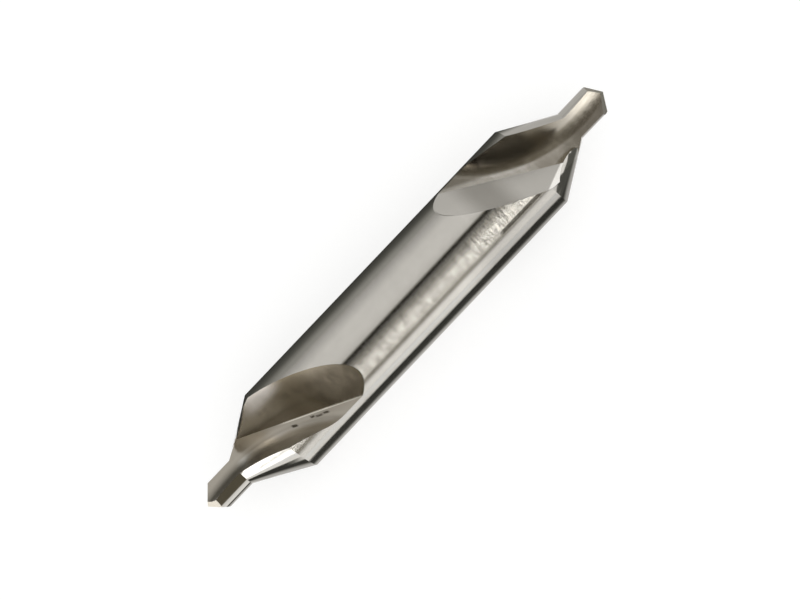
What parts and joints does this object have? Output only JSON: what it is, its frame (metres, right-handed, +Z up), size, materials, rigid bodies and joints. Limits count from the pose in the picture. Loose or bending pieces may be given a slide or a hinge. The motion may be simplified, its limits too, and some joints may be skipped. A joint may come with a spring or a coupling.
{
  "type": "centre drill",
  "caption": "Double-ended steel centre drill: plain round shank with a fluted pilot drill and sixty-degree countersink at each end.",
  "frame": {"origin": "middle of the drill on its axis", "axes": "+X along the drill axis towards one tip, +Z up with the drill lying on its side, +Y across it"},
  "size_m": [0.057, 0.01, 0.01],
  "materials": {
    "steel": "ground"
  },
  "bodies": {
    "root": {"centre_drill": "steel"}
  },
  "joints": []
}
